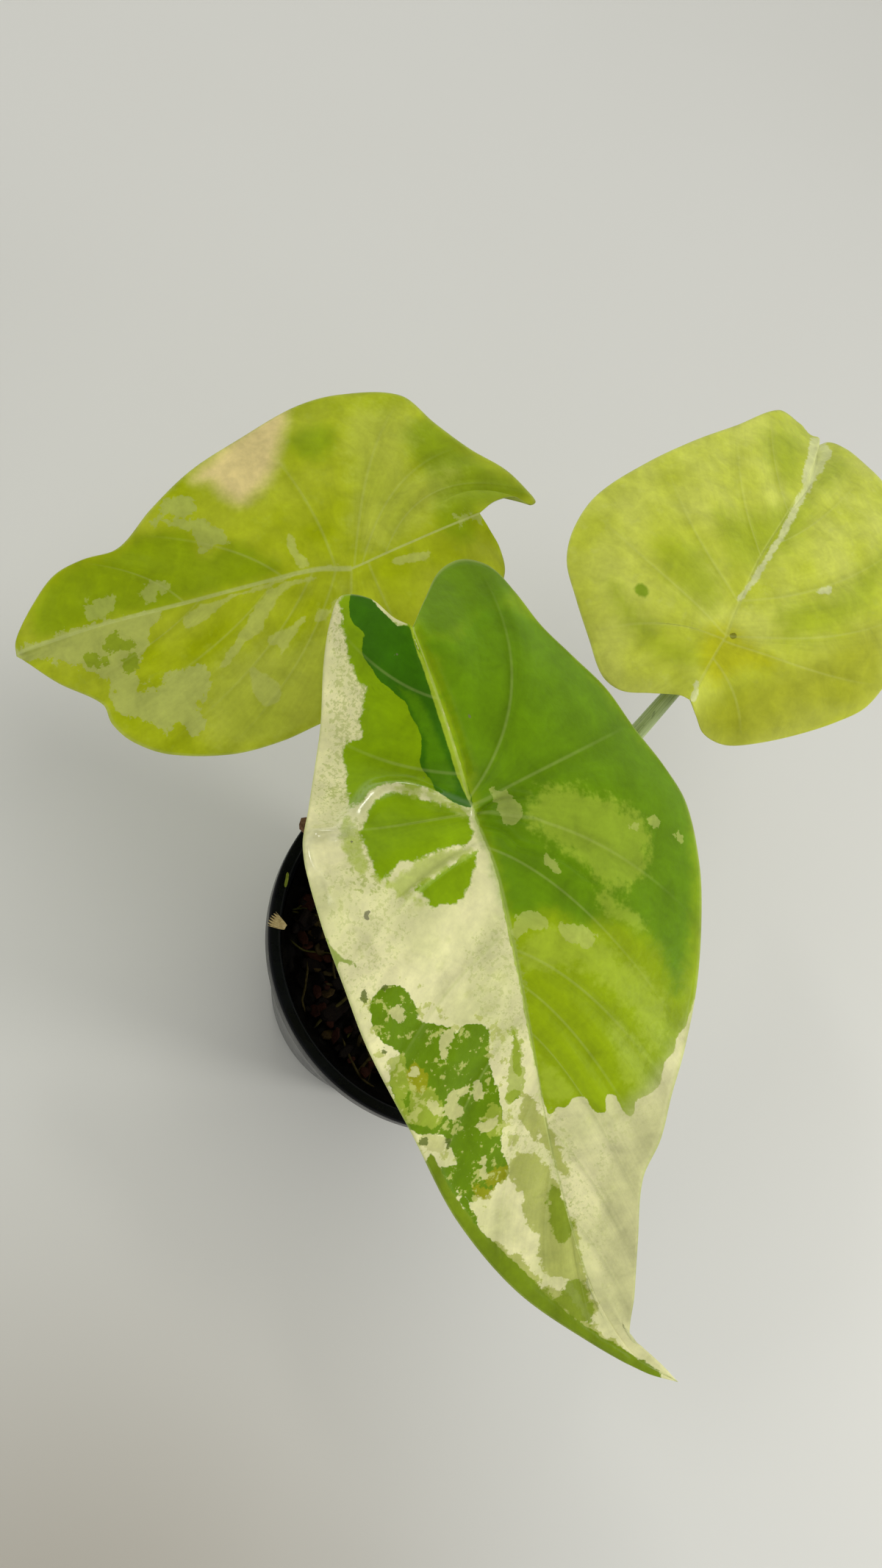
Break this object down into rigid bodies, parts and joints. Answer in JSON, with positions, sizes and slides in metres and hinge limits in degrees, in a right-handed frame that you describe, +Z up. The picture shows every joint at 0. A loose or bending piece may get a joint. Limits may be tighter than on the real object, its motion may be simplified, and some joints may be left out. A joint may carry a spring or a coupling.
{
  "type": "potted variegated alocasia acuminata",
  "caption": "Variegated house plant with long arrow-shaped leaves on slender stalks, growing in a round black nursery pot of bark mix.",
  "frame": {"origin": "centre of the underside of the pot's foot, on the surface that the pot stands on", "axes": "+Z up along the pot's axis, +Y towards the back, where the left and right leaves reach, and the front leaf's tip points towards -Y and -X"},
  "size_m": [0.2448, 0.258, 0.1824],
  "materials": {
    "pot_plastic": "semi-gloss injection-moulded black polypropylene",
    "mix": "matt damp bark and peat",
    "stem_skin": "dull papery brown rings",
    "stalk_skin": "smooth satin grey-green",
    "leaf_front": "smooth satin leaf, half green and half cream",
    "leaf_left": "smooth satin leaf, lime green with cream streaks",
    "leaf_right": "smooth satin leaf, pale yellow-green with cream patches",
    "husk_skin": "dry matt husk",
    "bark": "dry matt bark"
  },
  "bodies": {
    "root": {"pot": "pot_plastic", "potting_mix": "mix", "rhizome": "stem_skin", "stalk_front": "stalk_skin", "blade_front": "leaf_front", "stalk_left": "stalk_skin", "blade_left": "leaf_left", "stalk_right": "stalk_skin", "blade_right": "leaf_right", "husk": "husk_skin", "bark_chip": "bark"}
  },
  "joints": []
}
